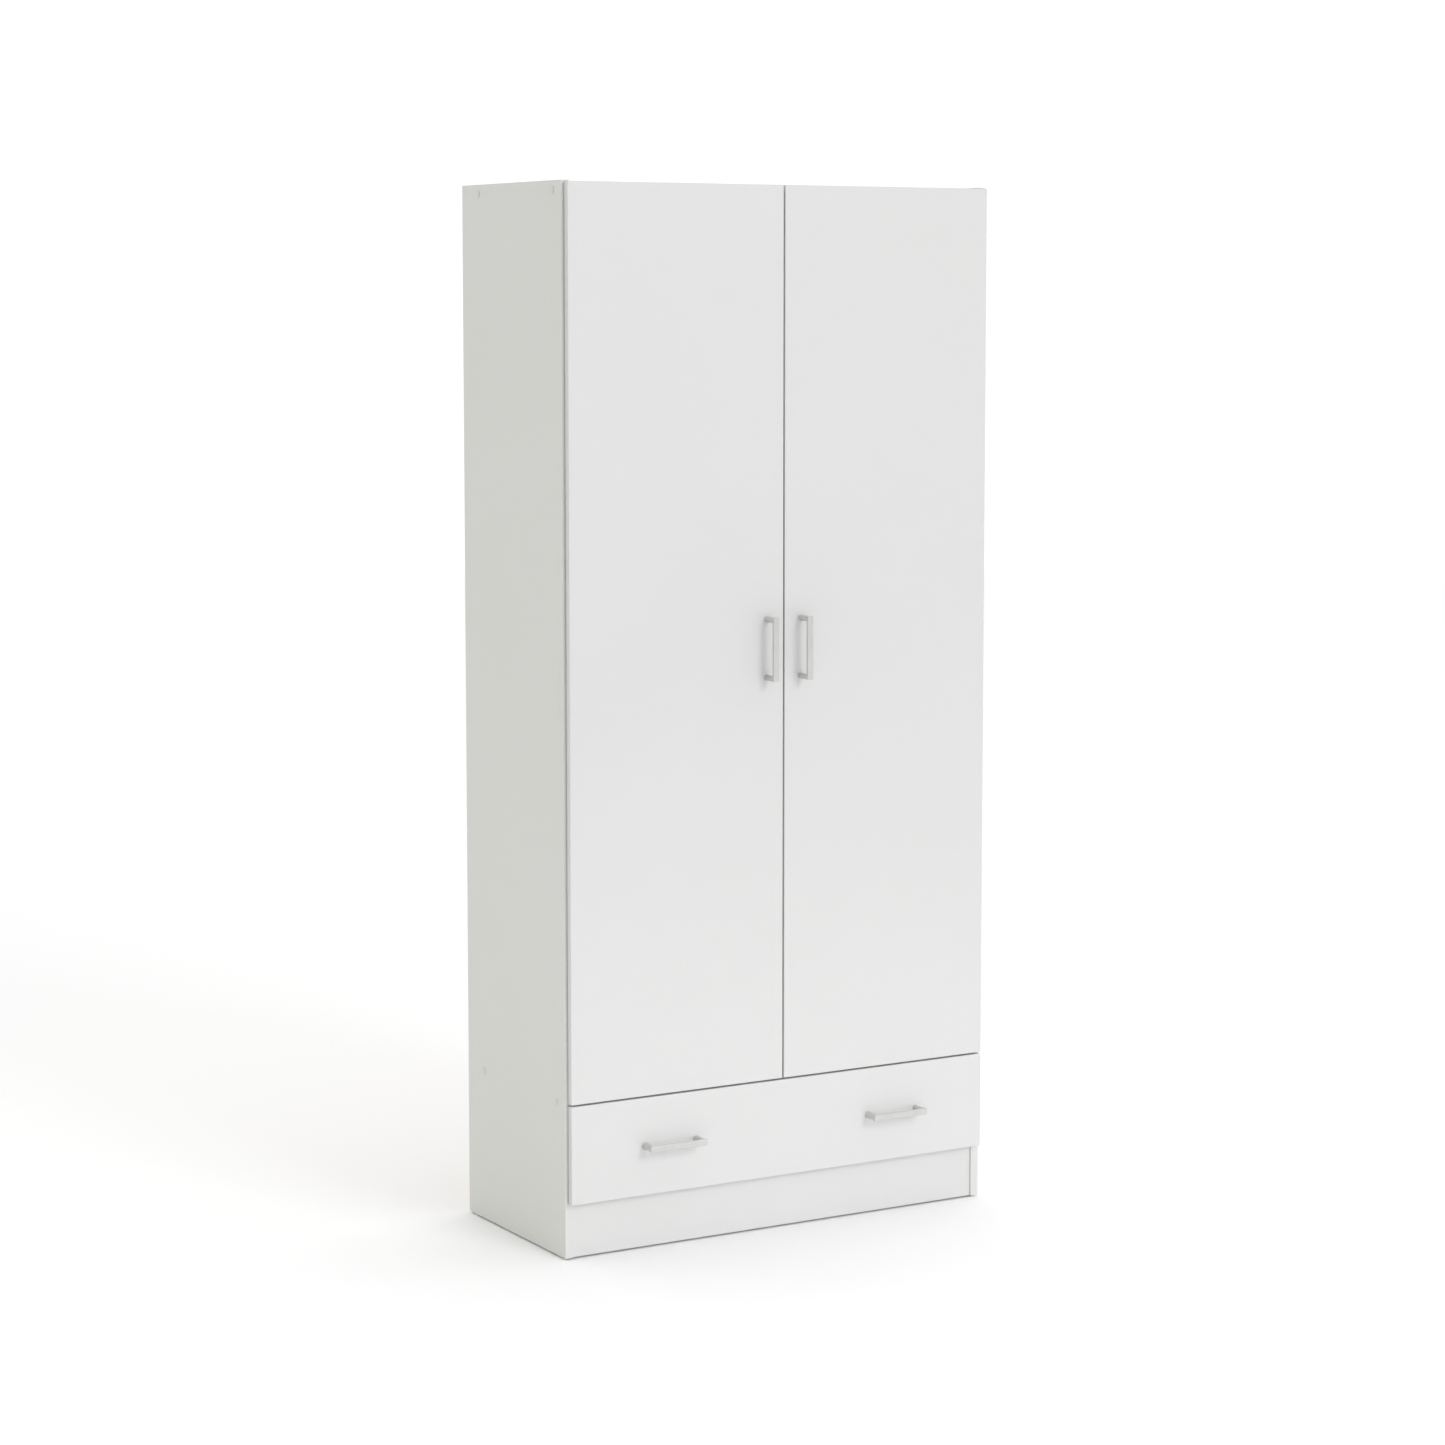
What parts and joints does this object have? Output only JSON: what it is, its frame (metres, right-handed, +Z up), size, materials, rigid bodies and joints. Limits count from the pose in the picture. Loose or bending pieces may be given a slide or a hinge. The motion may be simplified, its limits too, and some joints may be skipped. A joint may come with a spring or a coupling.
{
  "type": "wardrobe",
  "caption": "Freestanding white wardrobe with hinged doors over one full-width drawer, hat shelf, clothes rail and plinth.",
  "frame": {"origin": "on the floor, in the middle of the object's width and depth, handles included", "axes": "+Z up, +Y to the back, -Y to the front where the doors and the drawer open, +X to the right seen from the front"},
  "size_m": [0.8178, 0.4028, 1.754],
  "materials": {
    "white_board": "white melamine-faced chipboard, fine matt grain",
    "front_board": "white melamine-faced board, smooth matt",
    "drawer_board": "white foil-wrapped board",
    "fibreboard": "thin fibreboard, white lacquer inside and bare brown outside",
    "beech": "fluted beech",
    "white_plastic": "matt white",
    "clear_plastic": "translucent milky",
    "nylon": "satin white",
    "runner_enamel": "white baked enamel",
    "rail_chrome": "polished",
    "zinc": "bright zinc plate",
    "nickel_steel": "nickel-plated pressed steel",
    "satin_nickel": "satin nickel, fine brushing along the bar"
  },
  "bodies": {
    "carcass": {"side_panel_left": "white_board", "side_panel_right": "white_board", "top_panel": "white_board", "divider_shelf": "white_board", "hat_shelf": "white_board", "plinth_front": "white_board", "plinth_rear": "white_board", "plinth_dowels": "beech", "back_panel_left": "fibreboard", "back_panel_right": "fibreboard", "back_joint_strip": "white_plastic", "back_nails": "zinc", "confirmat_screws": "zinc", "screw_caps": "white_plastic", "floor_glides": "clear_plastic", "shelf_pins": "clear_plastic", "clothes_rail": "rail_chrome", "rail_brackets": "nickel_steel", "wall_brackets": "nickel_steel", "panel_screws": "zinc", "runner_cabinet_left": "runner_enamel", "runner_cabinet_right": "runner_enamel", "hinge_plates": "nickel_steel", "hinge_arm_left_1": "nickel_steel", "hinge_arm_left_2": "nickel_steel", "hinge_arm_left_3": "nickel_steel", "hinge_arm_right_1": "nickel_steel", "hinge_arm_right_2": "nickel_steel", "hinge_arm_right_3": "nickel_steel"},
    "left_links": {"hinge_links_left": "nickel_steel"},
    "left_door": {"door_left": "front_board", "door_handle_left": "satin_nickel", "door_handle_screws_left": "zinc", "cup_screws_left": "zinc", "door_bumpers_left": "clear_plastic", "hinge_cup_left_1": "nickel_steel", "hinge_cup_left_2": "nickel_steel", "hinge_cup_left_3": "nickel_steel"},
    "right_links": {"hinge_links_right": "nickel_steel"},
    "right_door": {"door_right": "front_board", "door_handle_right": "satin_nickel", "door_handle_screws_right": "zinc", "cup_screws_right": "zinc", "door_bumpers_right": "clear_plastic", "hinge_cup_right_1": "nickel_steel", "hinge_cup_right_2": "nickel_steel", "hinge_cup_right_3": "nickel_steel"},
    "drawer": {"drawer_front": "front_board", "drawer_side_left": "drawer_board", "drawer_side_right": "drawer_board", "drawer_back": "drawer_board", "drawer_bottom": "fibreboard", "drawer_handle_left": "satin_nickel", "drawer_handle_right": "satin_nickel", "drawer_handle_screws": "zinc", "runner_drawer_left": "runner_enamel", "runner_drawer_right": "runner_enamel", "drawer_screws": "zinc"},
    "front_roller_pair": {"front_rollers": "nylon"},
    "rear_roller_pair": {"rear_rollers": "nylon"}
  },
  "joints": [
    {"name": "door_left_link", "type": "hinge", "parent": "carcass", "child": "left_links", "pos_m": [-0.3805, -0.15785, 1.00625], "axis": [0, 0, 1], "range_deg": [0, 42]},
    {"name": "door_left_swing", "type": "hinge", "parent": "left_links", "child": "left_door", "pos_m": [-0.3945, -0.16085, 1.00625], "axis": [0, 0, -1], "range_deg": [0, 142]},
    {"name": "door_right_link", "type": "hinge", "parent": "carcass", "child": "right_links", "pos_m": [0.3805, -0.15785, 1.00625], "axis": [0, 0, -1], "range_deg": [0, 42]},
    {"name": "door_right_swing", "type": "hinge", "parent": "right_links", "child": "right_door", "pos_m": [0.3945, -0.16085, 1.00625], "axis": [0, 0, 1], "range_deg": [0, 142]},
    {"name": "drawer_slide", "type": "slide", "parent": "carcass", "child": "drawer", "axis": [0, -1, 0], "range_m": [0, 0.24]},
    {"name": "front_roller_spin", "type": "hinge", "parent": "carcass", "child": "front_roller_pair", "pos_m": [0, -0.13685, 0.12], "axis": [1, 0, 0], "range_deg": [0, 1600]},
    {"name": "rear_roller_spin", "type": "hinge", "parent": "drawer", "child": "rear_roller_pair", "pos_m": [0, 0.14965, 0.1173], "axis": [1, 0, 0], "range_deg": [0, 1600]}
  ],
  "couplings": [
    {"joint": "door_left_swing", "follows": "door_left_link", "ratio": 3.381},
    {"joint": "door_right_swing", "follows": "door_right_link", "ratio": 3.381},
    {"joint": "front_roller_spin", "follows": "drawer_slide", "rad_per_m": 111.11},
    {"joint": "rear_roller_spin", "follows": "drawer_slide", "rad_per_m": 111.11}
  ]
}
